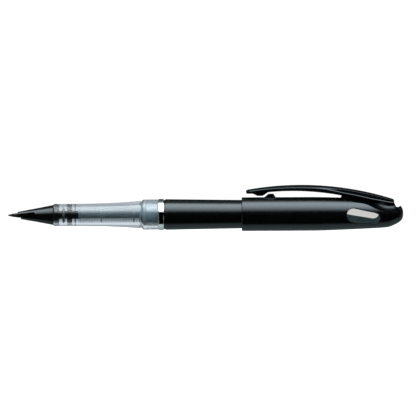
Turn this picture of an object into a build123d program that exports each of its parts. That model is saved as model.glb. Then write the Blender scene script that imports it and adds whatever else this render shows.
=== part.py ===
"""A cartridge drawing pen with its cap posted on the barrel's tail.

Lengths are in millimetres. A station is a distance along the pen from its writing point, and a height is measured
from the pen's axis. The frame's origin is on the surface that the pen lies on, under the middle of its length. +X
runs from the writing point to the cap's closed end, and the clip is on the +Z side.
"""

from build123d import *

import os

# ---------------------------------------------------------------- driving dimensions

OVERALL_LENGTH = 152.5

# stations along the pen
HOOD_FRONT = 3.8
FEED_FRONT = 4.9
CHEEK_END = 10.4
CHEEK_GROOVE = 11.2
SECTION_FRONT = 17.55
FRONT_SEAL = 21.5
RETAINER = 26.0
GUIDE_COLLAR = (22.85, 24.8)
COLLECTOR_FRONT = 27.3
COLLECTOR_BREAKS = (36.0, 48.4)
GRIP_END = 51.1
COLLAR_FRONT = 52.2
REAR_SEAL = 52.7
COLLAR_END = 58.1
LIP_FRONT = 58.45
RING_END = 60.1
BARREL_FRONT = 60.75
THREAD_START = 60.9
SPIGOT_END = 66.0
CAP_MOUTH = 90.2
TANK_END = 116.0
CAP_SHOULDER = 116.0
BARREL_TAIL = 126.5
LINER_MOUTH = 127.5
CLIP_HINGE = 129.6
PLUG_TIP = 133.2
LINER_END = 149.4

# radii from the pen's axis
NIB_RADIUS = 0.95
CHEEK_FLOOR = 0.55  # from the middle plane
CORE_RADIUS = 0.8
HOLDER_RADIUS = 3.88
SHANK_RADIUS = 1.6
SEAL_SEAT = 2.2
SLEEVE_BORE = 3.1
COLLECTOR_RADIUS = 3.0
COLLAR_BORE = 4.35
TANK_RADIUS = 4.0
TANK_BORE = 3.6
COLLAR_RADIUS = 5.82
RING_RADIUS = 6.0
LIP_RADIUS = 5.5
LIP_BORE = 5.2
BARREL_FRONT_RADIUS = 5.93
BARREL_TAIL_RADIUS = 4.95
BARREL_BORE = 4.2
TAIL_BORE = 3.9
PLUG_RADIUS = 4.28
CAP_RADIUS = 6.5
CAP_MOUTH_BORE = 5.9
CAP_BORE = 5.6
LINER_RADIUS = 5.0
LINER_BORE = 4.35

# the screw that joins the section to the barrel
THREAD_LEAD = 2.5
THREAD_ROOT = 4.75
THREAD_CREST = 5.1
THREAD_HALF_BASE = 0.5
THREAD_HALF_CREST = 0.3
THREAD_GAP = 0.06

# the clip, in (station, height)
CLIP_TIP = 91.85
CLIP_END = 149.0
CLIP_TOP_RADIUS = 118.5
CLIP_CREST = (112.7, 11.2)
CLIP_UNDER_RADIUS = 101.0
CLIP_UNDER_CREST = (109.6, 8.8)
HINGE_HEIGHT = 8.45
KNUCKLE_RADIUS = 1.5
WEB_HALF_WIDTH = 1.4

RUNNING_GAP = 0.04

# ---------------------------------------------------------------- the pen's planes and shared operations

TIP = Vector(-OVERALL_LENGTH / 2, 0, CAP_RADIUS)
PEN_AXIS = Axis(TIP, (1, 0, 0))
SIDE = Plane(origin=TIP, x_dir=(1, 0, 0), z_dir=(0, -1, 0))
PLAN = Plane(origin=TIP, x_dir=(1, 0, 0), z_dir=(0, 0, 1))


def across(station):
    """The plane square to the pen at a station: its local x is +Y and its local y is +Z."""
    return Plane(origin=TIP + Vector(station, 0, 0), x_dir=(0, 1, 0), z_dir=(1, 0, 0))


def turn(*outline, mode=Mode.ADD):
    """Revolves a closed outline of (station, radius) corners about the pen's axis."""
    with BuildSketch(SIDE, mode=Mode.PRIVATE) as profile:
        with BuildLine():
            Polyline(*outline, close=True)
        make_face()
    revolve(profile.sketch, axis=PEN_AXIS, mode=mode)


def slab(*outline, half_width, mode=Mode.ADD):
    """Extrudes a closed outline of (station, height) corners to both sides of the pen's middle plane."""
    with BuildSketch(SIDE, mode=Mode.PRIVATE) as profile:
        with BuildLine():
            Polyline(*outline, close=True)
        make_face()
    extrude(profile.sketch, amount=half_width, both=True, mode=mode)


def helical_ridge(start, length, root, crest, half_base, half_crest):
    """A right-hand ridge with a trapezium section, winding about the pen's axis from a starting station."""
    sink = 0.1
    with BuildPart() as ridge:
        with BuildLine() as path:
            Helix(THREAD_LEAD, length, root, center=TIP + Vector(start, 0, 0), direction=(1, 0, 0))
        foot = path.line @ 0
        outward = foot - (TIP + Vector(start, 0, 0))
        with BuildSketch(Plane(origin=foot, x_dir=outward, z_dir=path.line % 0)):
            with BuildLine():
                Polyline(
                    (-sink, -half_base),
                    (crest - root, -half_crest),
                    (crest - root, half_crest),
                    (-sink, half_base),
                    close=True,
                )
            make_face()
        sweep(is_frenet=True)
    return ridge.part


def save(piece, name):
    piece.part.label = name
    export_step(piece.part, f"parts/{name}.step")


os.makedirs("parts", exist_ok=True)

# ---------------------------------------------------------------- writing point and ink feed

with BuildPart() as nib:
    with BuildSketch(SIDE):
        with BuildLine():
            Spline((0, 0), (0.42, 0.29), (1.6, 0.57), (3.7, 0.87), (5.6, NIB_RADIUS), tangents=((0, 1), (1, 0)))
            Polyline((5.6, NIB_RADIUS), (10.0, NIB_RADIUS), (10.0, 0), (0, 0))
        make_face()
    revolve(axis=PEN_AXIS)
    # a flat on each side, level with the floor of the hood's cheek
    for side in (1, -1):
        with BuildSketch(SIDE.offset(side * CHEEK_FLOOR)):
            with BuildLine():
                Polyline((4.4, -1), (4.4, 1), (11, 1), (11, -1), close=True)
            make_face()
        extrude(amount=side * NIB_RADIUS, mode=Mode.SUBTRACT)
save(nib, "nib")

with BuildPart() as capillary_core:
    turn((10.0, 0), (10.0, CORE_RADIUS), (62.0, CORE_RADIUS), (62.0, 0))
save(capillary_core, "capillary_core")

with BuildPart() as nib_holder:
    cone_slope = 0.187
    front_radius = HOLDER_RADIUS - cone_slope * (SECTION_FRONT - HOOD_FRONT)
    groove_radius = HOLDER_RADIUS - cone_slope * (SECTION_FRONT - CHEEK_GROOVE)
    cone_groove = (
        (CHEEK_GROOVE - 0.08, groove_radius - 0.015),
        (CHEEK_GROOVE - 0.06, groove_radius - 0.07),
        (CHEEK_GROOVE + 0.06, groove_radius - 0.07),
        (CHEEK_GROOVE + 0.08, groove_radius + 0.015),
    )
    turn(
        (HOOD_FRONT, NIB_RADIUS),
        (HOOD_FRONT, front_radius - 0.1),
        (HOOD_FRONT + 0.15, front_radius + 0.03),
        *cone_groove,
        (SECTION_FRONT - 0.15, HOLDER_RADIUS),
        (SECTION_FRONT, HOLDER_RADIUS - 0.1),
        (SECTION_FRONT, SLEEVE_BORE),
        (SECTION_FRONT + 2.25, SLEEVE_BORE),
        (SECTION_FRONT + 2.25, SHANK_RADIUS),
        (FRONT_SEAL - 0.45, SHANK_RADIUS),
        (FRONT_SEAL - 0.45, SEAL_SEAT),
        (FRONT_SEAL + 0.45, SEAL_SEAT),
        (FRONT_SEAL + 0.45, SHANK_RADIUS),
        (GUIDE_COLLAR[0], SHANK_RADIUS),
        (GUIDE_COLLAR[0], SLEEVE_BORE),
        (GUIDE_COLLAR[1], SLEEVE_BORE),
        (GUIDE_COLLAR[1], SHANK_RADIUS),
        (COLLECTOR_FRONT, SHANK_RADIUS),
        (COLLECTOR_FRONT, CORE_RADIUS),
        (10.0, CORE_RADIUS),
        (10.0, NIB_RADIUS),
    )
    # a blind cheek in each side of the hood, beside the nib
    for side in (1, -1):
        with BuildSketch(SIDE.offset(side * CHEEK_FLOOR)):
            with BuildLine():
                Polyline((CHEEK_END - 0.3, 1.24), (HOOD_FRONT - 1, 0.4), (HOOD_FRONT - 1, -0.1), (CHEEK_END - 0.3, -0.1))
                ThreePointArc((CHEEK_END - 0.3, -0.1), (CHEEK_END, 0.57), (CHEEK_END - 0.3, 1.24))
            make_face()
        extrude(amount=side * HOLDER_RADIUS, mode=Mode.SUBTRACT)
    slab(
        (HOOD_FRONT - 1, 0.1),
        (FEED_FRONT, 0.1),
        (FEED_FRONT + 0.3, -HOLDER_RADIUS),
        (HOOD_FRONT - 1, -HOLDER_RADIUS),
        half_width=HOLDER_RADIUS,
        mode=Mode.SUBTRACT,
    )
save(nib_holder, "nib_holder")

with BuildPart() as collector:
    fin_pitch = 0.6
    fin_width = 0.2
    break_width = 0.5
    hub_radius = 1.4
    comb = []
    station = COLLECTOR_FRONT
    while station < GRIP_END - fin_pitch:
        at_break = any(abs(station - stop) < fin_pitch / 2 for stop in COLLECTOR_BREAKS)
        width = break_width if at_break else fin_width
        comb += [
            (station, hub_radius),
            (station, COLLECTOR_RADIUS),
            (station + width, COLLECTOR_RADIUS),
            (station + width, hub_radius),
        ]
        station += fin_pitch
    turn(
        (COLLECTOR_FRONT, CORE_RADIUS),
        *comb,
        (GRIP_END - 0.4, hub_radius),
        (GRIP_END - 0.4, COLLECTOR_RADIUS),
        (COLLAR_FRONT + 1.2, COLLECTOR_RADIUS),
        (COLLAR_FRONT + 1.2, TANK_BORE),
        (COLLAR_END, TANK_BORE),
        (COLLAR_END + 1.5, 1.6),
        (COLLAR_END + 1.5, CORE_RADIUS),
    )
    slab(
        (COLLECTOR_FRONT + 1, 1.2),
        (GRIP_END - 1, 1.2),
        (GRIP_END - 1, COLLECTOR_RADIUS + 1),
        (COLLECTOR_FRONT + 1, COLLECTOR_RADIUS + 1),
        half_width=0.3,
        mode=Mode.SUBTRACT,
    )
save(collector, "collector")

# ---------------------------------------------------------------- seals and retainer inside the clear section


def ring_seal(station, inner, outer):
    """Revolves a round bead that just fills the space between two radii."""
    with BuildSketch(SIDE, mode=Mode.PRIVATE) as bead:
        with Locations((station, (inner + outer) / 2)):
            Circle((outer - inner) / 2)
    revolve(bead.sketch, axis=PEN_AXIS)


with BuildPart() as front_seal:
    ring_seal(FRONT_SEAL, SEAL_SEAT, SLEEVE_BORE)
save(front_seal, "front_seal")

with BuildPart() as rear_seal:
    ring_seal(REAR_SEAL, COLLECTOR_RADIUS, COLLAR_BORE)
save(rear_seal, "rear_seal")

with BuildPart() as retaining_ring:
    turn(
        (RETAINER - 0.25, SHANK_RADIUS),
        (RETAINER - 0.25, SLEEVE_BORE),
        (RETAINER + 0.25, SLEEVE_BORE),
        (RETAINER + 0.25, SHANK_RADIUS),
    )
save(retaining_ring, "retaining_ring")

# ---------------------------------------------------------------- clear section

male_thread = helical_ridge(THREAD_START, 4.5, THREAD_ROOT, THREAD_CREST, THREAD_HALF_BASE, THREAD_HALF_CREST)

with BuildPart() as grip_sleeve:
    with BuildSketch(SIDE):
        with BuildLine():
            Line((SECTION_FRONT, SLEEVE_BORE), (SECTION_FRONT, 3.95))
            Spline((SECTION_FRONT, 3.95), (17.85, 4.2), (18.7, 4.36), tangents=((0, 1), (1, 0)))
            Polyline(
                (18.7, 4.36),
                (19.1, 4.3),
                (19.15, 4.12),
                (19.4, 4.12),
                (19.45, 4.27),
                (23.9, 4.27),
                (23.95, 4.12),
                (24.25, 4.12),
                (24.3, 4.27),
            )
            Spline((24.3, 4.27), (36.3, 4.44), (45.6, 4.86), (GRIP_END, 5.24), tangents=((1, 0), (1, 0.06)))
            Polyline(
                (GRIP_END, 5.24),
                (GRIP_END + 0.1, 5.0),
                (GRIP_END + 0.45, 5.0),
                (COLLAR_FRONT - 0.15, COLLAR_RADIUS - 0.2),
                (COLLAR_FRONT + 0.1, COLLAR_RADIUS),
                (COLLAR_END - 0.15, COLLAR_RADIUS),
                (COLLAR_END, COLLAR_RADIUS - 0.15),
                (COLLAR_END, THREAD_ROOT),
                (SPIGOT_END, THREAD_ROOT),
                (SPIGOT_END, COLLAR_BORE),
                (COLLAR_FRONT + 0.1, COLLAR_BORE),
                (COLLAR_FRONT - 0.6, SLEEVE_BORE),
                (SECTION_FRONT, SLEEVE_BORE),
            )
        make_face()
    revolve(axis=PEN_AXIS)
    add(male_thread)
save(grip_sleeve, "grip_sleeve")

# ---------------------------------------------------------------- ink reservoir

with BuildPart() as reservoir:
    turn(
        (COLLAR_FRONT + 1.2, TANK_BORE),
        (COLLAR_FRONT + 1.2, COLLAR_BORE),
        (SPIGOT_END - 1, COLLAR_BORE),
        (SPIGOT_END - 0.5, TANK_RADIUS),
        (TANK_END, TANK_RADIUS),
        (TANK_END, TANK_BORE),
    )
save(reservoir, "reservoir")

with BuildPart() as reservoir_plug:
    turn(
        (TANK_END - 3, 0),
        (TANK_END - 3, TANK_BORE - 0.3),
        (TANK_END - 2.7, TANK_BORE),
        (TANK_END, TANK_BORE),
        (TANK_END, TANK_RADIUS),
        (TANK_END + 1, TANK_RADIUS),
        (TANK_END + 1.4, TANK_RADIUS - 0.4),
        (TANK_END + 1.4, 0),
    )
save(reservoir_plug, "reservoir_plug")

# ---------------------------------------------------------------- trim ring, barrel and tail plug

with BuildPart() as trim_ring:
    turn(
        (COLLAR_END + 0.05, LIP_RADIUS + RUNNING_GAP),
        (COLLAR_END + 0.05, RING_RADIUS - 0.06),
        (COLLAR_END + 0.11, RING_RADIUS),
        (RING_END - 0.06, RING_RADIUS),
        (RING_END, RING_RADIUS - 0.06),
        (RING_END, LIP_RADIUS + RUNNING_GAP),
    )
save(trim_ring, "trim_ring")

female_thread = helical_ridge(
    THREAD_START - THREAD_LEAD,
    8.0,
    THREAD_ROOT + THREAD_GAP,
    THREAD_CREST + THREAD_GAP,
    THREAD_HALF_BASE + THREAD_GAP,
    THREAD_HALF_CREST + THREAD_GAP,
)

with BuildPart() as barrel:
    turn(
        (LIP_FRONT, LIP_BORE),
        (LIP_FRONT, LIP_RADIUS),
        (RING_END + RUNNING_GAP, LIP_RADIUS),
        (RING_END + RUNNING_GAP, LIP_RADIUS + 0.15),
        (BARREL_FRONT, LIP_RADIUS + 0.15),
        (BARREL_FRONT, BARREL_FRONT_RADIUS - 0.06),
        (BARREL_FRONT + 0.06, BARREL_FRONT_RADIUS),
        (BARREL_TAIL - 0.4, BARREL_TAIL_RADIUS),
        (BARREL_TAIL, BARREL_TAIL_RADIUS - 0.4),
        (BARREL_TAIL, TAIL_BORE),
        (BARREL_TAIL - 5.5, TAIL_BORE),
        (BARREL_TAIL - 5.5, BARREL_BORE),
        (SPIGOT_END + 1.5, BARREL_BORE),
        (SPIGOT_END + 1.2, THREAD_ROOT + THREAD_GAP),
        (BARREL_FRONT - 0.2, THREAD_ROOT + THREAD_GAP),
        (BARREL_FRONT - 0.6, LIP_BORE),
    )
    add(female_thread, mode=Mode.SUBTRACT)
save(barrel, "barrel")

with BuildPart() as tail_plug:
    with BuildSketch(SIDE):
        with BuildLine():
            Polyline(
                (BARREL_TAIL + 4.5, PLUG_RADIUS),
                (BARREL_TAIL, PLUG_RADIUS),
                (BARREL_TAIL, TAIL_BORE),
                (BARREL_TAIL - 5.5, TAIL_BORE),
                (BARREL_TAIL - 5.5, 0),
                (PLUG_TIP, 0),
            )
            Spline((PLUG_TIP, 0), (132.5, 2.9), (BARREL_TAIL + 4.5, PLUG_RADIUS), tangents=((0, 1), (-1, 0)))
        make_face()
    revolve(axis=PEN_AXIS)
save(tail_plug, "tail_plug")

# ---------------------------------------------------------------- windows in the cap

WINDOW_STATION = 137.3
WINDOW_HEIGHT = -1.17
WINDOW_SPAN = 7.8  # between the centres of its round ends
WINDOW_RADII = (2.75, 2.49)  # of the end nearer the mouth and of the other end
WINDOW_TILT = 9
WINDOW_FACE = 5.72  # how far the ridge between the two facets stands out from the middle plane
WINDOW_RIDGE = 0.0  # the ridge's height over the middle line of the pane
FACET_TILTS = (16, -28)  # of the upper and the lower facet
FACET_TAPER = 0.05  # the facets lean in towards the tail as the cap does
WINDOW_FLOOR = 3.2
WINDOW_REBATE = 0.15
REBATE_FLOOR = 5.0
PANE_INNER_FACE = 4.55
PANE_CORE_RADIUS = 4.85


def window_plane(side):
    """The upright plane along the pen's axis that a window is drawn on; side is -1 or +1, as on Y."""
    along = Vector(1, 0, 0).rotate(Axis.Y, WINDOW_TILT)
    origin = TIP + Vector(WINDOW_STATION, 0, WINDOW_HEIGHT)
    return Plane(origin=origin, x_dir=along, z_dir=(0, side, 0))


def window_blank(side, inner, outer, margin=0, mode=Mode.ADD):
    """Extrudes the window's outline, grown by a margin, sideways between two distances from the middle plane."""
    with BuildSketch(window_plane(side).offset(inner), mode=Mode.PRIVATE) as outline:
        for end, radius in zip((-1, 1), WINDOW_RADII):
            with Locations((end * WINDOW_SPAN / 2, 0)):
                Circle(radius + margin)
        make_hull()
    extrude(outline.sketch, amount=outer - inner, mode=mode)


def facet(side, tilt):
    """The plane of one facet, through the ridge, turned up by a tilt in degrees."""
    ridge = TIP + Vector(WINDOW_STATION, side * WINDOW_FACE, WINDOW_HEIGHT + WINDOW_RIDGE)
    along = Axis((0, 0, 0), window_plane(side).x_dir)
    return Plane(origin=ridge, z_dir=Vector(FACET_TAPER, side, 0).normalized().rotate(along, side * tilt))


for label, side in (("left", -1), ("right", 1)):
    with BuildPart() as pane:
        window_blank(side, PANE_INNER_FACE, CAP_RADIUS)
        for tilt in FACET_TILTS:
            split(bisect_by=facet(side, tilt), keep=Keep.BOTTOM)
        turn(
            (BARREL_TAIL, 0),
            (BARREL_TAIL, PANE_CORE_RADIUS),
            (132.6, PANE_CORE_RADIUS),
            (LINER_END, 0),
            mode=Mode.SUBTRACT,
        )
    save(pane, f"window_{label}")

# ---------------------------------------------------------------- clip, before it is divided at its flexing root


def box_of_stations(start, end, mode):
    """A block that holds everything between two stations."""
    slab((start, -20), (end, -20), (end, 20), (start, 20), half_width=20, mode=mode)


def knuckle(radius, mode):
    """A round bar across the clip at its flexing root."""
    with BuildSketch(SIDE, mode=Mode.PRIVATE) as bar:
        with Locations((CLIP_HINGE, HINGE_HEIGHT)):
            Circle(radius)
    extrude(bar.sketch, amount=20, both=True, mode=mode)


with BuildPart() as clip_blank:
    # the crowned top, swept round the clip's long arch
    crown_radius = 6.5
    crest_station, crest_height = CLIP_CREST
    half_span = 4.2
    crown_drop = crown_radius - (crown_radius**2 - half_span**2) ** 0.5
    with BuildSketch(across(crest_station)):
        with BuildLine():
            Polyline(
                (half_span, crest_height - crown_drop),
                (half_span, crest_height - 5),
                (-half_span, crest_height - 5),
                (-half_span, crest_height - crown_drop),
            )
            ThreePointArc(
                (-half_span, crest_height - crown_drop), (0, crest_height), (half_span, crest_height - crown_drop)
            )
        make_face()
    revolve(axis=Axis(TIP + Vector(crest_station, 0, crest_height - CLIP_TOP_RADIUS), (0, 1, 0)))
    # the underside of the broad strip, and its tail end
    with BuildSketch(SIDE):
        with BuildLine():
            ThreePointArc((90, 7.6), (111, 9.9), (CLIP_HINGE + 2, 7.05))
            Polyline(
                (CLIP_HINGE + 2, 7.05), (147.2, 4.2), (148.6, 4.0), (CLIP_END, 4.7), (CLIP_END, 14), (90, 14), (90, 7.6)
            )
        make_face()
    extrude(amount=half_span, both=True, mode=Mode.INTERSECT)
    # the outline seen from above
    with BuildSketch(PLAN):
        with BuildLine():
            ThreePointArc((CLIP_TIP + 2.1, 2.05), (CLIP_TIP, 0), (CLIP_TIP + 2.1, -2.05))
            Line((CLIP_TIP + 2.1, -2.05), (132, -3.7))
            ThreePointArc((132, -3.7), (141.5, -3.6), (CLIP_END, -2.6))
            Line((CLIP_END, -2.6), (CLIP_END, 2.6))
            ThreePointArc((CLIP_END, 2.6), (141.5, 3.6), (132, 3.7))
            Line((132, 3.7), (CLIP_TIP + 2.1, 2.05))
        make_face()
    extrude(amount=20, mode=Mode.INTERSECT)
    # the stiffening rib below it
    with BuildSketch(SIDE):
        with BuildLine():
            under_station, under_height = CLIP_UNDER_CREST
            arc_centre = (under_station, under_height - CLIP_UNDER_RADIUS)
            rib = CenterArc(arc_centre, CLIP_UNDER_RADIUS, 79, 20.2)
            Polyline(rib @ 0, (128.9, 9.2), (120, 10), (104, 10), (93.8, 8.6), rib @ 1)
        make_face()
    extrude(amount=1.1, both=True)
    # the bump that grips a pocket's edge
    slab((94.9, 7.7), (96.3, 6.98), (98.3, 6.98), (100.5, 8.45), (100.5, 8.8), (94.9, 8.4), half_width=1.4)

# ---------------------------------------------------------------- clip foot

foot_web = (
    (130.4, 7.3),
    (132.3, 6.0),
    (132.3, 5.5),
    (139.0, 5.0),
    (144.5, 3.9),
    (149.5, 2.9),
    (149.0, 3.6),
    (148.6, 4.2),
    (146.0, 5.2),
    (134.0, 7.6),
)

with BuildPart() as clip_foot:
    add(clip_blank.part)
    box_of_stations(CLIP_HINGE, CLIP_END + 5, Mode.INTERSECT)
    with BuildPart(mode=Mode.PRIVATE) as root_knuckle:
        add(clip_blank.part)
        knuckle(KNUCKLE_RADIUS, Mode.INTERSECT)
    add(root_knuckle.part)
    slab(*foot_web, half_width=WEB_HALF_WIDTH)
save(clip_foot, "clip_foot")

with BuildPart() as clip_arm:
    add(clip_blank.part)
    box_of_stations(CLIP_TIP - 5, CLIP_HINGE - 0.3, Mode.INTERSECT)
    knuckle(KNUCKLE_RADIUS + RUNNING_GAP, Mode.SUBTRACT)
save(clip_arm, "clip_arm")

# ---------------------------------------------------------------- inner cap

with BuildPart() as inner_cap:
    turn(
        (LINER_MOUTH, LINER_BORE + 0.2),
        (LINER_MOUTH, LINER_RADIUS),
        (129.9, LINER_RADIUS),
        (130.0, 4.75),
        (132.6, 4.75),
        (146.5, 1.9),
        (LINER_END, 1.6),
        (LINER_END, 0),
        (LINER_END - 0.5, 0),
        (LINER_END - 0.5, 0.9),
        (145.8, 1.35),
        (131.5, LINER_BORE),
        (LINER_MOUTH + 0.2, LINER_BORE),
    )
save(inner_cap, "inner_cap")

# ---------------------------------------------------------------- cap shell

SCOOP_RADIUS = 3.2
SCOOP_OFFSET = 4.6


def scoop(side):
    """One of the two hollows beside the clip's foot: a round cutter that dips towards the cap's closed end."""
    with BuildPart() as cutter:
        with BuildLine(SIDE.offset(-side * SCOOP_OFFSET)) as path:
            Spline((128.0, 9.4), (133.9, 7.5), (139.6, 6.4), (143.9, 4.3), (148.2, 3.9))
        with BuildSketch(Plane(origin=path.line @ 0, z_dir=path.line % 0)):
            Circle(SCOOP_RADIUS)
        sweep()
        with Locations(path.line @ 1):
            Sphere(SCOOP_RADIUS)
    return cutter.part


scoops = [scoop(side) for side in (-1, 1)]

with BuildPart() as cap_shell:
    with BuildSketch(SIDE):
        with BuildLine():
            Polyline(
                (CAP_MOUTH + 0.3, CAP_MOUTH_BORE),
                (CAP_MOUTH, CAP_MOUTH_BORE + 0.2),
                (CAP_MOUTH, CAP_RADIUS - 0.2),
                (CAP_MOUTH + 0.2, CAP_RADIUS),
                (CAP_SHOULDER, CAP_RADIUS),
            )
            Spline(
                (CAP_SHOULDER, CAP_RADIUS), (127.7, 6.26), (135.8, 5.95), (144.5, 5.5), tangents=((1, 0), (1, -0.07))
            )
            Spline(
                (144.5, 5.5), (146.9, 5.22), (150.5, 3.64), (OVERALL_LENGTH, 0), tangents=((1, -0.07), (0, -1))
            )
            Polyline(
                (OVERALL_LENGTH, 0),
                (150, 0),
                (150, 1.7),
                (144.5, 2.4),
                (139, 4.4),
                (133.2, LINER_RADIUS),
                (LINER_MOUTH, LINER_RADIUS),
                (LINER_MOUTH - 0.6, CAP_BORE),
                (97.9, CAP_BORE),
                (97.5, CAP_MOUTH_BORE),
                (96.0, CAP_MOUTH_BORE),
                (95.5, CAP_MOUTH_BORE - 0.1),
                (95.0, CAP_MOUTH_BORE),
                (CAP_MOUTH + 0.3, CAP_MOUTH_BORE),
            )
        make_face()
    revolve(axis=PEN_AXIS)
    # the bump that faces the clip's own
    slab((98.7, 6.1), (98.7, 6.3), (100.6, 7.85), (102.5, 7.85), (103.4, 6.3), (103.4, 6.1), half_width=2.0)
    # room for the clip's foot and the hollows round it
    slab(*foot_web, half_width=WEB_HALF_WIDTH, mode=Mode.SUBTRACT)
    slab((130, 6.84), (147.2, 4.2), (150.3, 4.0), (150.3, 12), (130, 12), half_width=4.6, mode=Mode.SUBTRACT)
    add(scoops, mode=Mode.SUBTRACT)
    with BuildSketch(SIDE):
        with Locations((150.3, 4.0)):
            Circle(1.5)
    extrude(amount=CAP_RADIUS, both=True, mode=Mode.SUBTRACT)
    for side in (-1, 1):
        window_blank(side, WINDOW_FLOOR, CAP_RADIUS + 1, mode=Mode.SUBTRACT)
        window_blank(side, REBATE_FLOOR, CAP_RADIUS + 1, WINDOW_REBATE, mode=Mode.SUBTRACT)
save(cap_shell, "cap_shell")
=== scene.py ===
"""Drawing pen with a posted cap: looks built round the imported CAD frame.

The scene is in metres, +X from nib to cap and +Z up. Shapes are given in millimetres, as station along the pen
from the nib's point, height over the pen's axis, and distance across.
"""

import math

import bmesh
import bpy
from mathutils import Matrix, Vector
from mathutils.bvhtree import BVHTree


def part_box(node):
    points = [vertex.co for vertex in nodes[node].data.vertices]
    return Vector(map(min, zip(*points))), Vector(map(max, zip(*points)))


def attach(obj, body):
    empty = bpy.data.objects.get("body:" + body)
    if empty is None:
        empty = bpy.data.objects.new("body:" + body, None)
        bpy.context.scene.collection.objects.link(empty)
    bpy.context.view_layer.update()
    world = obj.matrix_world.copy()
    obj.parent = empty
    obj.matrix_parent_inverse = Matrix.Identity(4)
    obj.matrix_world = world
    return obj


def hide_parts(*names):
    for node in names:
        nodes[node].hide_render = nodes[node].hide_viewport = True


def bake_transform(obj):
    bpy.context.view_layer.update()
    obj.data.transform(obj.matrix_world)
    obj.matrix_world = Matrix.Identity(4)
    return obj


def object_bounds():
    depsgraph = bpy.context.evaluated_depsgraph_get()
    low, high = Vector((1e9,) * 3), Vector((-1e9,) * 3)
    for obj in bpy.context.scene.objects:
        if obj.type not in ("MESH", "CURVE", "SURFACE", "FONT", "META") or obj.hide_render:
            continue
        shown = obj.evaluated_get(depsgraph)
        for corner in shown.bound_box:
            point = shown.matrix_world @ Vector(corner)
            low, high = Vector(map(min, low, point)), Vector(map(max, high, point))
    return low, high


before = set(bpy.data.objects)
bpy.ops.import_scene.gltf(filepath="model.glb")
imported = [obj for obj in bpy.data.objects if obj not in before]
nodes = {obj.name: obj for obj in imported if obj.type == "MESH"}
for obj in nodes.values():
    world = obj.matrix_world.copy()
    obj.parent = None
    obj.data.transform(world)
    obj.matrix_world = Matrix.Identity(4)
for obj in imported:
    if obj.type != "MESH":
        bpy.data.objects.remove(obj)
cad_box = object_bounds()

MM = 0.001
TIP_X = cad_box[0].x
AXIS_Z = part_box("cap_shell")[0].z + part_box("cap_shell")[1].y


def at(station, height=0.0, across=0.0):
    """A point given in mm: along the pen from the nib's point, up from its axis, and across."""
    return Vector((TIP_X + station * MM, across * MM, AXIS_Z + height * MM))


def sweep_between(a, b, t):
    """Linear blend of two numbers."""
    return a + (b - a) * t


# ---------------------------------------------------------------- node helpers


MIX_FACTOR, MIX_FIRST, MIX_SECOND, MIX_RESULT = 0, 6, 7, 2  # a Mix node's sockets when it mixes colours


class Graph:
    """Short calls for building a node tree."""

    def __init__(self, tree):
        self.tree = tree
        tree.nodes.clear()

    def add(self, kind, **inputs):
        node = self.tree.nodes.new(kind)
        for key, value in inputs.items():
            self.put(node, key.replace("_", " "), value)
        return node

    def put(self, node, socket, value):
        if isinstance(value, bpy.types.NodeSocket):
            self.tree.links.new(value, node.inputs[socket])
        else:
            node.inputs[socket].default_value = value

    def math(self, operation, *values):
        node = self.tree.nodes.new("ShaderNodeMath")
        node.operation = operation
        for index, value in enumerate(values):
            self.put(node, index, value)
        return node.outputs[0]

    def scaled(self, vector, factors):
        node = self.tree.nodes.new("ShaderNodeMapping")
        self.put(node, "Vector", vector)
        self.put(node, "Scale", factors)
        return node.outputs[0]

    def noise(self, vector, scale, detail=2.0, roughness=0.5):
        node = self.add("ShaderNodeTexNoise", Scale=scale, Detail=detail, Roughness=roughness)
        self.put(node, "Vector", vector)
        return node.outputs["Fac"]

    def span(self, value, low, high, start=0.0, end=1.0):
        """Maps a value from start..end to low..high."""
        node = self.tree.nodes.new("ShaderNodeMapRange")
        ends = {"From Min": start, "From Max": end, "To Min": low, "To Max": high}
        self.put(node, "Value", value)
        for socket, number in ends.items():
            self.put(node, socket, number)
        return node.outputs[0]

    def shades(self, factor, dark, light):
        """Mixes two colours, each one a tint or another node's output."""
        node = self.tree.nodes.new("ShaderNodeMix")
        node.data_type = "RGBA"
        self.put(node, MIX_FACTOR, factor)
        for socket, colour in ((MIX_FIRST, dark), (MIX_SECOND, light)):
            self.put(node, socket, colour if isinstance(colour, bpy.types.NodeSocket) else (*colour, 1))
        return node.outputs[MIX_RESULT]

    def bump(self, height, depth, strength=1.0):
        node = self.add("ShaderNodeBump", Strength=strength, Distance=depth)
        self.put(node, "Height", height)
        return node.outputs[0]


def new_material(name):
    material = bpy.data.materials.new(name)
    material.use_nodes = True
    graph = Graph(material.node_tree)
    shader = graph.add("ShaderNodeBsdfPrincipled")
    output = graph.add("ShaderNodeOutputMaterial")
    graph.tree.links.new(shader.outputs[0], output.inputs["Surface"])
    place = graph.add("ShaderNodeTexCoord").outputs["Object"]
    return material, graph, shader, place


def moulded(name, dark, light, rough, ior=1.5, grain=9000, grain_depth=1.2e-6, scuffs=0.05, **extra):
    """Moulded plastic: cloudy tint, a fine moulded grain, and lengthwise handling marks in the gloss."""
    material, graph, shader, place = new_material(name)
    clouds = graph.noise(place, 700, 4)
    grain_height = graph.noise(place, grain, 2)
    streaks = graph.noise(graph.scaled(place, (0.05, 1, 1)), 5200, 3, 0.65)
    marks = graph.span(streaks, 0, scuffs, 0.55, 0.8)
    polish = graph.span(clouds, rough[0], rough[1], 0.3, 0.7)
    graph.put(shader, "Base Color", graph.shades(clouds, dark, light))
    graph.put(shader, "Roughness", graph.math("ADD", polish, marks))
    graph.put(shader, "Normal", graph.bump(grain_height, grain_depth))
    shader.inputs["IOR"].default_value = ior
    for socket, value in extra.items():
        shader.inputs[socket.replace("_", " ")].default_value = value
    return material


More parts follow.
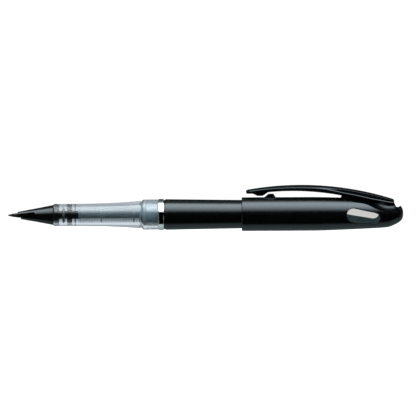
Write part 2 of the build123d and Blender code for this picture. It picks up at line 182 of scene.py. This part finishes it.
def clear_plastic(name, dark, light, rough, ior=1.49, ripple=2e-7):
    """Transparent moulded plastic with faint flow lines and a lightly worn surface."""
    material, graph, shader, place = new_material(name)
    flow = graph.noise(graph.scaled(place, (0.35, 1, 1)), 420, 3)
    fine = graph.noise(graph.scaled(place, (0.1, 1, 1)), 4200, 2)
    graph.put(shader, "Base Color", graph.shades(flow, dark, light))
    graph.put(shader, "Roughness", graph.span(fine, rough[0], rough[1], 0.35, 0.75))
    graph.put(shader, "Normal", graph.bump(flow, ripple))
    shader.inputs["Transmission Weight"].default_value = 1.0
    shader.inputs["IOR"].default_value = ior
    return material


def bright_metal(name, dark, light, rough):
    """Plated metal with fine turning lines round the pen's axis."""
    material, graph, shader, place = new_material(name)
    turning = graph.noise(graph.scaled(place, (1, 0.02, 0.02)), 9000, 2)
    clouds = graph.noise(place, 500, 3)
    graph.put(shader, "Base Color", graph.shades(clouds, dark, light))
    graph.put(shader, "Roughness", graph.span(turning, rough[0], rough[1], 0.3, 0.7))
    graph.put(shader, "Normal", graph.bump(turning, 3e-7))
    shader.inputs["Metallic"].default_value = 1.0
    return material


STAIN_FADE = 3 * MM  # length over which the ink's stain fades out


def fibre(name, dark, light, ink, stain_end):
    """Drawn fibre: fine lengthwise strands, stained with ink up to an x in the pen's frame."""
    material, graph, shader, place = new_material(name)
    strands = graph.noise(graph.scaled(place, (0.03, 1, 1)), 9000, 3)
    clean = graph.shades(strands, dark, light)
    along = graph.add("ShaderNodeSeparateXYZ", Vector=place).outputs["X"]
    unstained = graph.span(along, 0, 1, stain_end - STAIN_FADE, stain_end)
    graph.put(shader, "Base Color", graph.shades(unstained, ink, clean))
    graph.put(shader, "Roughness", graph.span(strands, 0.75, 0.95))
    graph.put(shader, "Normal", graph.bump(strands, 2e-5))
    return material


BLACK_SHEEN = {"Specular_Tint": (0.84, 0.95, 1.0, 1.0)}
satin_black = moulded("satin_black", (0.0003, 0.0004, 0.0004), (0.0009, 0.001, 0.001), (0.18, 0.24), **BLACK_SHEEN)
clip_black = moulded(
    "clip_black", (0.0004, 0.0005, 0.0006), (0.001, 0.0012, 0.0014), (0.12, 0.17), ior=1.46, **BLACK_SHEEN
)
holder_black = moulded(
    "holder_black", (0.0006, 0.0007, 0.0007), (0.0014, 0.0016, 0.0016), (0.13, 0.19),
    ior=1.43, grain=12000, grain_depth=6e-7, **BLACK_SHEEN
)
nib_black = moulded(
    "nib_black", (0.001, 0.0011, 0.0012), (0.003, 0.0033, 0.0035), (0.3, 0.42), ior=1.3, grain=16000, grain_depth=3e-6
)
collector_grey = moulded(
    "collector_grey", (0.1, 0.14, 0.155), (0.13, 0.175, 0.19), (0.35, 0.45), grain=14000, grain_depth=2e-6
)
liner_black = moulded("liner_black", (0.012, 0.013, 0.014), (0.022, 0.024, 0.025), (0.35, 0.45))
seal_rubber = moulded(
    "seal_rubber", (0.008, 0.008, 0.008), (0.016, 0.016, 0.016), (0.6, 0.8), grain=14000, grain_depth=4e-6
)
seal_grey = moulded(
    "seal_grey", (0.1, 0.14, 0.155), (0.13, 0.175, 0.19), (0.5, 0.65), grain=14000, grain_depth=4e-6
)
smoke_clear = clear_plastic("smoke_clear", (0.84, 0.89, 0.92), (0.9, 0.94, 0.96), (0.0, 0.03))
reservoir_clear = clear_plastic("reservoir_clear", (0.7, 0.73, 0.73), (0.8, 0.83, 0.83), (0.15, 0.25))
window_clear = moulded(
    "window_clear", (0.016, 0.024, 0.026), (0.026, 0.036, 0.038), (0.05, 0.09),
    ior=1.85, grain=6000, grain_depth=4e-7, Specular_IOR_Level=1.0, Specular_Tint=(1.0, 0.93, 0.86, 1.0)
)
bright_chrome = bright_metal("bright_chrome", (0.86, 0.87, 0.88), (0.94, 0.95, 0.95), (0.04, 0.1))
STAIN_END = 30  # station where the core's ink stain ends
fibre_core = fibre("fibre_core", (0.16, 0.155, 0.15), (0.34, 0.33, 0.31), (0.002, 0.002, 0.003), at(STAIN_END).x)

for see_through in ("grip_sleeve", "reservoir"):
    nodes[see_through].visible_shadow = False

finishes = {
    "nib": nib_black,
    "nib_holder": holder_black,
    "capillary_core": fibre_core,
    "collector": collector_grey,
    "front_seal": seal_rubber,
    "rear_seal": seal_grey,
    "retaining_ring": holder_black,
    "grip_sleeve": smoke_clear,
    "reservoir": reservoir_clear,
    "reservoir_plug": holder_black,
    "trim_ring": bright_chrome,
    "barrel": satin_black,
    "tail_plug": satin_black,
    "cap_shell": satin_black,
    "inner_cap": liner_black,
}
for node_name, material in finishes.items():
    mesh = nodes[node_name].data
    mesh.materials.clear()
    mesh.materials.append(material)

# ---------------------------------------------------------------- shapes in mesh code


def between(x, points):
    """Piecewise linear value at x of (x, value) points."""
    if x <= points[0][0]:
        return points[0][1]
    for (x0, v0), (x1, v1) in zip(points, points[1:]):
        if x <= x1:
            return sweep_between(v0, v1, (x - x0) / (x1 - x0))
    return points[-1][1]


def quarter_round(distance, radius):
    """How far a rounded end has opened, from 0 to 1, at a distance from the end."""
    t = min(1.0, max(0.0, distance / radius))
    return math.sqrt(1 - (1 - t) ** 2)


def arc_height(x, crest_x, crest, radius):
    """Height at x of an arch with a crest of that height at crest_x."""
    return crest - (radius - math.sqrt(radius**2 - (x - crest_x) ** 2))


def skin(bm, rings, closed_ends=True):
    """Joins rings of points into a tube, in order, and closes its ends."""
    loops = [[bm.verts.new(point) for point in ring] for ring in rings]
    for a, b in zip(loops, loops[1:]):
        count = len(a)
        for i in range(count):
            bm.faces.new((a[i], a[(i + 1) % count], b[(i + 1) % count], b[i]))
    if closed_ends:
        bm.faces.new(loops[0])
        bm.faces.new(list(reversed(loops[-1])))
    return loops


def finish_piece(bm, name, material, sharp_above):
    """Makes the mesh into a named object, smooth but for edges sharper than an angle in degrees."""
    bmesh.ops.recalc_face_normals(bm, faces=bm.faces)
    mesh = bpy.data.meshes.new(name)
    bm.to_mesh(mesh)
    bm.free()
    for face in mesh.polygons:
        face.use_smooth = True
    mesh.set_sharp_from_angle(angle=math.radians(sharp_above))
    mesh.materials.append(material)
    piece = bpy.data.objects.new(name, mesh)
    bpy.context.scene.collection.objects.link(piece)
    return piece


cap_mesh = nodes["cap_shell"].data
cap_tree = BVHTree.FromPolygons([v.co for v in cap_mesh.vertices], [f.vertices for f in cap_mesh.polygons])


CLEAR_OF_CAP = 30  # from where the cap's outside is looked for


def cap_top(station, across):
    """Height of the cap's outside over the axis, straight up."""
    hit = cap_tree.ray_cast(at(station, CLEAR_OF_CAP, across), Vector((0, 0, -1)))[0]
    return (hit.z - AXIS_Z) / MM


def cap_side(station, height, side):
    """Distance of the cap's outside from the middle plane, at a height, on one side."""
    hit = cap_tree.ray_cast(at(station, height, side * CLEAR_OF_CAP), Vector((0, -side, 0)))[0]
    return abs(hit.y) / MM


# ---------------------------------------------------------------- the clip, one springy moulding

CLIP_TIP = 91.85
CLIP_END = 149.0
TOP_ARC = (112.7, 11.2, 118.5)  # the arch of the clip's top, as crest station, crest height and radius
UNDERSIDE_ARC = (109.6, 8.8, 101.0)
UNDERSIDE_ARC_START = 101.0  # in front of it the bump's outline holds
NOSE = 2.1  # radius of the tip in plan
NOSE_IN_SIDE = 0.7  # radius of the tip seen from the side
NOSE_TOP, NOSE_UNDERSIDE = 8.7, 8.6
TAIL_ROUND = 0.5  # radius of the rear end
FLANKS_START, FLANKS_FULL = 113, 130  # between them the strip grows from thin to deep in the flanks
HALF_WIDTHS = ((93.95, 2.05), (132, 3.7), (137, 3.78), (141.5, 3.6), (145.5, 3.2), (CLIP_END, 2.7))
# depth of the bright edge line below the clip's top
LINE_DEPTHS = ((92, 0.55), (95, 0.75), (104, 0.95), (112, 1.1), (120, 1.45))
LINE_DEPTHS += ((129.7, 2.05), (140, 2.3), (146.6, 1.8), (CLIP_END, 1.4))
RIB_HALF_WIDTHS = ((93, 0.9), (96, 1.3), (100, 1.3), (103, 1.1), (126, 1.1), (CLIP_END, 1.3))
TIP_UNDERSIDE = ((92, 7.82), (94.2, 7.85), (94.8, 7.7), (96.3, 6.98), (98.3, 6.98), (100.4, 8.36), (101.0, 8.43))
# angles of the section in degrees from straight up, on the thin front and where the flanks are full
CROWN_ANGLES = (42, 25)
FLANK_ANGLES = (42, 84)
BEAD_ANGLES = (42, 36)
BEAD_END_ANGLE = 172
BEAD_RADII = (0.34, 0.3)
EDGE_RADII = (0.02, 0.1)
LIP_RADIUS = 0.28  # the round along the rib's lower edges
CROWN_STEPS = 12
EDGE_STEPS = 4
LIP_STEPS = 5
BEAD_STEPS = (0, 0.03, 0.1, 0.2, 0.3, 0.4, 0.5, 0.6, 0.7, 0.8, 0.9, 1)


def clip_section(s):
    """The strip's outline across the pen at one station, as (across, height), anticlockwise seen from the nib."""
    growth = min(1.0, max(0.0, (s - FLANKS_START) / (FLANKS_FULL - FLANKS_START)))
    growth = growth * growth * (3 - 2 * growth)
    open_in_plan = max(0.04, quarter_round(s - CLIP_TIP, NOSE))
    open_in_side = max(0.1, quarter_round(s - CLIP_TIP, NOSE_IN_SIDE))
    half = between(s, HALF_WIDTHS) * open_in_plan
    top = arc_height(s, *TOP_ARC)
    rib = between(s, TIP_UNDERSIDE) if s < UNDERSIDE_ARC_START else arc_height(s, *UNDERSIDE_ARC)
    top = sweep_between(NOSE_TOP, top, open_in_side)
    rib = sweep_between(NOSE_UNDERSIDE, rib, open_in_side)
    top -= TAIL_ROUND * (1 - quarter_round(CLIP_END - s, TAIL_ROUND))

    crown = math.radians(sweep_between(*CROWN_ANGLES, growth))
    side_end = math.radians(sweep_between(*FLANK_ANGLES, growth))
    bead_start = math.radians(sweep_between(*BEAD_ANGLES, growth))
    bead = min(sweep_between(*BEAD_RADII, growth), 0.24 * half, 0.3 * (top - rib))
    edge = sweep_between(*EDGE_RADII, growth)
    side = 0.0
    # the flank's length and the crown's width depend on each other, and settle in three passes
    for _ in range(3):
        reach = edge * (math.sin(side_end) - math.sin(crown)) + side * math.cos(side_end)
        crown_half = half - bead * (1 - math.sin(bead_start)) - reach
        crown_radius = crown_half / math.sin(crown)
        drop = crown_radius * (1 - math.cos(crown)) + edge * (math.cos(crown) - math.cos(side_end))
        room = between(s, LINE_DEPTHS) - drop - bead * (math.cos(bead_start) - 0.5)
        side = max(0.02, room) / math.sin(side_end) * growth + 0.005
    points = []
    for i in range(-CROWN_STEPS, CROWN_STEPS + 1):
        y = crown_half * i / CROWN_STEPS
        points.append((y, top - (crown_radius - math.sqrt(crown_radius**2 - y * y))))
    y, z = points[-1]
    centre = (y - edge * math.sin(crown), z - edge * math.cos(crown))
    for i in range(1, EDGE_STEPS + 1):
        angle = sweep_between(crown, side_end, i / EDGE_STEPS)
        points.append((centre[0] + edge * math.sin(angle), centre[1] + edge * math.cos(angle)))
    y, z = points[-1]
    for part in (0.1, 0.93):
        points.append((y + part * side * math.cos(side_end), z - part * side * math.sin(side_end)))
    y += side * math.cos(side_end)
    z -= side * math.sin(side_end)
    centre = (y - bead * math.sin(bead_start), z - bead * math.cos(bead_start))
    for part in BEAD_STEPS:
        angle = sweep_between(bead_start, math.radians(BEAD_END_ANGLE), part)
        points.append((centre[0] + bead * math.sin(angle), centre[1] + bead * math.cos(angle)))
    y, z = points[-1]
    rib_half = min(between(s, RIB_HALF_WIDTHS) * open_in_plan, y - 0.12 * bead)
    rib = min(rib, z - 0.04)
    soft = min(LIP_RADIUS, 0.45 * (z - rib), 0.5 * rib_half)
    points.append((sweep_between(rib_half, y, 0.4), z + 0.03 * bead))
    for i in range(LIP_STEPS + 1):
        angle = math.radians(90 + 90 / LIP_STEPS * i)
        points.append((rib_half - soft + soft * math.sin(angle), rib + soft + soft * math.cos(angle)))
    upper = 2 * CROWN_STEPS + 1
    right = points[upper:]
    left = [(-y, z) for y, z in reversed(right)]
    return points[:upper] + right + left


STATION_STEP = 0.3
body_steps_count = int((CLIP_END - TAIL_ROUND - CLIP_TIP - NOSE) / STATION_STEP) + 1
nose_steps = [CLIP_TIP + NOSE * (1 - math.cos(math.radians(a))) for a in range(4, 90, 5)]
body_steps = [CLIP_TIP + NOSE + STATION_STEP * i for i in range(body_steps_count)]
tail_steps = [CLIP_END - TAIL_ROUND + TAIL_ROUND * math.sin(math.radians(a)) for a in range(18, 91, 18)]
clip_mesh = bmesh.new()
skin(clip_mesh, [[at(s, z, y) for y, z in clip_section(s)] for s in nose_steps + body_steps + tail_steps])

# the web that carries the strip on the cap, as side outlines stepped outward to round its edges
WEB_HALF = 1.35
WEB_EDGE = 0.15
WEB_SUNK = 0.07  # how far the web's bed lies inside the cap
WEB_ROOF_DEPTH = 1.9  # the web's roof below the clip's top, inside the strip
web_bed = [129.0 + 0.5 * i for i in range(42)]


def web_outline(inset):
    """The web's outline seen from the side, drawn in by an inset at its two free edges."""
    bed = [(s, min(cap_top(s, y) for y in (0.0, 0.7, WEB_HALF)) - WEB_SUNK) for s in web_bed]
    front = [(128.95 + inset, 7.35), (128.4 + inset, 6.3), (128.4 + inset, bed[0][1])]
    rear = [(149.72 - inset, 2.5), (149.7 - inset, 2.8), (149.3 - inset, 3.6), (148.85 - inset, 4.5)]
    roof = [(s, arc_height(s, *TOP_ARC) - WEB_ROOF_DEPTH) for s in (148.5, 145, 141, 137, 133)]
    return front + bed + rear + roof


web_layers = [(-WEB_HALF, WEB_EDGE), (-WEB_HALF + 0.05, 0.05), (-WEB_HALF + WEB_EDGE, 0.0)]
web_layers += [(-y, inset) for y, inset in reversed(web_layers)]
skin(clip_mesh, [[at(s, z, y) for s, z in web_outline(inset)] for y, inset in web_layers])
clip = finish_piece(clip_mesh, "clip", clip_black, sharp_above=60)
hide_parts("clip_arm", "clip_foot")
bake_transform(clip)

# ---------------------------------------------------------------- the cap's two windows

# the round ends of the opening, as (station, height, radius)
WINDOW_ENDS = ((133.45, -0.56, 2.75), (141.15, -1.78, 2.49))
# the bright facet's outline as (station, height), from the ridge's front end over the top to its rear end
BRIGHT_FACET = ((130.6, -0.13), (131.0, 1.2), (132.0, 2.4), (133.6, 2.45), (142.1, 0.62), (142.75, 0.2))
BRIGHT_FACET += ((142.92, -0.3), (142.6, -1.0), (142.0, -1.5), (141.3, -1.75), (140.6, -1.8))
RIDGE_START, RIDGE_END = BRIGHT_FACET[0], BRIGHT_FACET[-1]
FACET_CENTRE = (136.6, 0.2)
MIDDLE_SHARE = 0.12  # how far the innermost ring is drawn towards the facet's centre
EDGE_SPREAD = 0.03  # how far the facet's ring leans out towards the opening
FACET_TILT = math.tan(math.radians(17.5))
FACET_TAPER = 0.05
RIDGE_OUT = 5.98  # the ridge's distance from the middle plane at its start
RIM_WIDTH = 0.13
GROOVE_WIDTH = 0.1
SKIRT_SLOPES = (0.3, 0.52)  # least and greatest fall of the skirt, for each mm
SKIRT_DEPTH = 0.13  # least depth of the skirt's foot below the cap's outside
RIM_DEPTH = 0.03
SHOULDER_DEPTH = 0.35
PANE_BACK = 4.6  # greatest distance of the pane's back from the middle plane
PANE_THICKNESS = 0.6  # least thickness of the pane at its edge
# the cap's outside is measured a little outside the rim, where the opening can't catch the ray
PANE_CENTRE, PANE_HALVES = (137.3, -1.17), (7, 3)
CLEAR_OF_RIM = 0.25
ROUND_END_STEPS = 32
SIDE_STEP = 0.5


def opening(grown):
    """The window opening's outline as (station, height) points, grown by an amount."""
    (s0, z0, r0), (s1, z1, r1) = WINDOW_ENDS
    lean = math.atan2(z1 - z0, s1 - s0)
    tangent = math.acos((r0 - r1) / math.hypot(s1 - s0, z1 - z0))
    points = []
    for s, z, r, start, end in ((s0, z0, r0, tangent, 2 * math.pi - tangent), (s1, z1, r1, -tangent, tangent)):
        for i in range(ROUND_END_STEPS + 1):
            angle = lean + sweep_between(start, end, i / ROUND_END_STEPS)
            points.append((s + (r + grown) * math.cos(angle), z + (r + grown) * math.sin(angle)))
    # even steps along the two straight sides
    full = []
    for (sa, za), (sb, zb) in zip(points, points[1:] + points[:1]):
        steps = max(1, round(math.hypot(sb - sa, zb - za) / SIDE_STEP))
        full += [(sweep_between(sa, sb, i / steps), sweep_between(za, zb, i / steps)) for i in range(steps)]
    return full


def on_facet(point):
    """The bright facet's edge nearest to a point, a touch towards the point so that no two are the same."""
    nearest, gap = None, math.inf
    for (sa, za), (sb, zb) in zip(BRIGHT_FACET, BRIGHT_FACET[1:] + BRIGHT_FACET[:1]):
        es, ez = sb - sa, zb - za
        t = ((point[0] - sa) * es + (point[1] - za) * ez) / (es * es + ez * ez)
        t = min(1.0, max(0.0, t))
        s, z = sa + t * es, za + t * ez
        distance = math.hypot(point[0] - s, point[1] - z)
        if distance < gap:
            nearest, gap = (s, z), distance
    return tuple(sweep_between(a, b, EDGE_SPREAD) for a, b in zip(nearest, point))


def facet_out(s, z):
    """Distance of the bright facet's plane from the middle plane."""
    (sa, za), (sb, zb) = RIDGE_START, RIDGE_END
    above = z - sweep_between(za, zb, (s - sa) / (sb - sa))
    return RIDGE_OUT - FACET_TAPER * (s - sa) - FACET_TILT * above


def outside_at(s, z, side):
    """Distance of the cap's outside from the middle plane, beside a point of the window's rim."""
    s += CLEAR_OF_RIM * (s - PANE_CENTRE[0]) / PANE_HALVES[0]
    z += CLEAR_OF_RIM * (z - PANE_CENTRE[1]) / PANE_HALVES[1]
    return cap_side(s, z, side)


def window_pane(name, side):
    """A clear pane with a bright upper facet and a dark skirt that curls round its end, in a fine rim."""
    rim = opening(RIM_WIDTH)
    seat = opening(0.0)
    outside = [outside_at(s, z, side) for s, z in rim]
    facet = [on_facet(point) for point in seat]
    inner = [(s, z, min(PANE_BACK, out - PANE_THICKNESS)) for (s, z), out in zip(seat, outside)]
    shoulder = [(s, z, out - SHOULDER_DEPTH) for (s, z), out in zip(rim, outside)]
    edge = [(s, z, out - RIM_DEPTH) for (s, z), out in zip(rim, outside)]
    groove, brow = [], []
    for (s, z), (fs, fz), out in zip(seat, facet, outside):
        reach, foot = math.hypot(s - fs, z - fz), facet_out(fs, fz)
        least, greatest = (foot - slope * reach for slope in SKIRT_SLOPES)
        skirt = max(greatest, min(out - SKIRT_DEPTH, least))
        share = min(0.5, GROOVE_WIDTH / reach)
        groove.append((s, z, min(out - SKIRT_DEPTH, skirt)))
        brow.append([sweep_between(a, b, share) for a, b in zip((s, z, skirt), (fs, fz, foot))])
    ridge = [(s, z, facet_out(s, z)) for s, z in facet]
    drawn_in = [[sweep_between(a, b, MIDDLE_SHARE) for a, b in zip(point, FACET_CENTRE)] for point in facet]
    middle = [(s, z, facet_out(s, z)) for s, z in drawn_in]
    bm = bmesh.new()
    rings = (inner, shoulder, edge, groove, brow, ridge, middle)
    skin(bm, [[at(s, z, side * out) for s, z, out in ring] for ring in rings])
    pane = finish_piece(bm, f"pane_{name}", window_clear, sharp_above=12)
    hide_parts(f"window_{name}")
    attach(pane, "cap")


window_pane("left", -1)
window_pane("right", 1)

# ---------------------------------------------------------------- floor, light and camera

FLOOR_HALF = 2.5
FLOOR_DROP = 2e-5  # the floor lies this far under the pen, so that the two don't flicker
floor_mesh = bpy.data.meshes.new("floor")
floor_corners = [(x * FLOOR_HALF, y * FLOOR_HALF, 0) for x, y in ((-1, -1), (1, -1), (1, 1), (-1, 1))]
floor_mesh.from_pydata(floor_corners, [], [(0, 1, 2, 3)])
floor = bpy.data.objects.new("floor", floor_mesh)
floor.location.z = cad_box[0].z - FLOOR_DROP
bpy.context.scene.collection.objects.link(floor)
paper, graph, shader, place = new_material("pale_floor")
graph.put(shader, "Base Color", graph.shades(graph.noise(place, 40, 3), (0.6, 0.6, 0.6), (0.62, 0.62, 0.62)))
shader.inputs["Roughness"].default_value = 0.9
shader.inputs["Specular IOR Level"].default_value = 0.0
floor_mesh.materials.append(paper)
floor.visible_glossy = False
floor.visible_transmission = False

# radiance against the angle round the pen's axis, in degrees: 0 towards the front, 90 up, 180 behind
BRIGHTEST = 7.3
SOFTBOX = ((16, 0.0), (21, 0.5), (27, 1.9), (34, 3.2), (48, 5.5))
SOFTBOX += ((62, 7.1), (76, BRIGHTEST), (88, 5.0), (94, 2.3), (98, 0.3))
SOFTBOX_START, SOFTBOX_END = SOFTBOX[0][0], SOFTBOX[-1][0]
MIRRORED = ((-180, 0.15), (-150, 0.26), (-126, 0.4), (-82, 0.56), (-74, 0.0))
MIRRORED += SOFTBOX + ((112, 0.22), (125, 0.13), (136, 0.05), (172, 0.05), (179, 0.15))
# what is seen through the clear grip
SEEN_THROUGH = ((-179, 0.3), (-173, 0.34), (-165, 0.5), (-158, 0.8), (-82, 0.8), (-72, 0.08), (16, 0.05))
SEEN_THROUGH += ((30, 0.5), (60, 1.0), (94, 0.7), (130, 0.46), (180, 0.46))
SOFTBOX_TINT = (0.92, 0.97, 1.01)
TEAL = (0.8, 1.0, 0.98)
PALE_BLUE = (0.93, 0.99, 1.05)
ROOM_TINT, ROOM_LIGHT = (0.97, 0.99, 1, 1), 1.3
BACKDROP_LIGHT = 1.05
# the softbox dims towards its two ends, by the sideways part of the direction, over this span of angles
ENDS_DIM_FROM, ENDS_DARK_FROM = 0.42, 0.6
ENDS_MIDDLE, ENDS_HALF_SPAN = math.radians(58.5), math.radians(36)

world = bpy.data.worlds.new("studio")
world.use_nodes = True
bpy.context.scene.world = world
graph = Graph(world.node_tree)
direction = graph.add("ShaderNodeSeparateXYZ", Vector=graph.add("ShaderNodeTexCoord").outputs["Generated"])
turn = graph.math("ARCTAN2", direction.outputs["Z"], graph.math("MULTIPLY", direction.outputs["Y"], -1.0))
share = graph.span(turn, 0, 1, -math.pi, math.pi)
sideways = graph.math("ABSOLUTE", direction.outputs["X"])
box_end = graph.span(sideways, 1.0, 0.0, ENDS_DIM_FROM, ENDS_DARK_FROM)


def surroundings(profile, room_tint):
    """Light from all round the pen's axis, with a softbox that ends on both sides."""
    ramp = graph.add("ShaderNodeValToRGB", Fac=share)
    stops = ramp.color_ramp.elements
    for index, (angle, _) in enumerate(profile):
        position = (angle + 180) / 360
        stop = stops[index] if index < 2 else stops.new(position)
        stop.position = position
    for stop, (angle, radiance) in zip(stops, profile):
        tint = SOFTBOX_TINT if SOFTBOX_START <= angle < SOFTBOX_END else room_tint
        stop.color = (*(radiance / BRIGHTEST * c for c in tint), 1)
    inside_box = graph.math("COMPARE", turn, ENDS_MIDDLE, ENDS_HALF_SPAN)
    dimmed = graph.math("MULTIPLY", inside_box, graph.math("SUBTRACT", 1.0, box_end))
    level = graph.math("SUBTRACT", 1.0, dimmed)
    lit = graph.tree.nodes.new("ShaderNodeVectorMath")
    lit.operation = "SCALE"
    graph.put(lit, 0, ramp.outputs["Color"])
    graph.put(lit, "Scale", graph.math("MULTIPLY", level, BRIGHTEST))
    return graph.add("ShaderNodeBackground", Color=lit.outputs[0], Strength=1.0).outputs[0]


def mixed(factor, without, with_factor):
    node = graph.add("ShaderNodeMixShader", Fac=factor)
    graph.put(node, 1, without)
    graph.put(node, 2, with_factor)
    return node.outputs[0]


ray = graph.add("ShaderNodeLightPath").outputs
room = graph.add("ShaderNodeBackground", Color=ROOM_TINT, Strength=ROOM_LIGHT).outputs[0]
backdrop = graph.add("ShaderNodeBackground", Color=(1, 1, 1, 1), Strength=BACKDROP_LIGHT).outputs[0]
studio = mixed(ray["Is Transmission Ray"], surroundings(MIRRORED, TEAL), surroundings(SEEN_THROUGH, PALE_BLUE))
studio = mixed(ray["Is Diffuse Ray"], studio, room)
studio = mixed(ray["Is Camera Ray"], studio, backdrop)
graph.add("ShaderNodeOutputWorld", Surface=studio)

CAMERA_DISTANCE = 3.0
VIEW_WIDTH = 0.1605
VIEW_CENTRE = (77.2, 2.43)  # station and height that the camera faces
CAMERA_ROLL = 0.28  # degrees
camera_data = bpy.data.cameras.new("camera")
camera_data.sensor_width = 36.0
camera_data.lens = camera_data.sensor_width * CAMERA_DISTANCE / VIEW_WIDTH
camera_data.clip_start = 0.01
camera = bpy.data.objects.new("camera", camera_data)
camera.location = at(*VIEW_CENTRE)
camera.location.y = -CAMERA_DISTANCE
camera.rotation_euler = (math.radians(90), math.radians(CAMERA_ROLL), 0)
bpy.context.scene.collection.objects.link(camera)
bpy.context.scene.camera = camera
bpy.context.scene.view_settings.view_transform = "Standard"
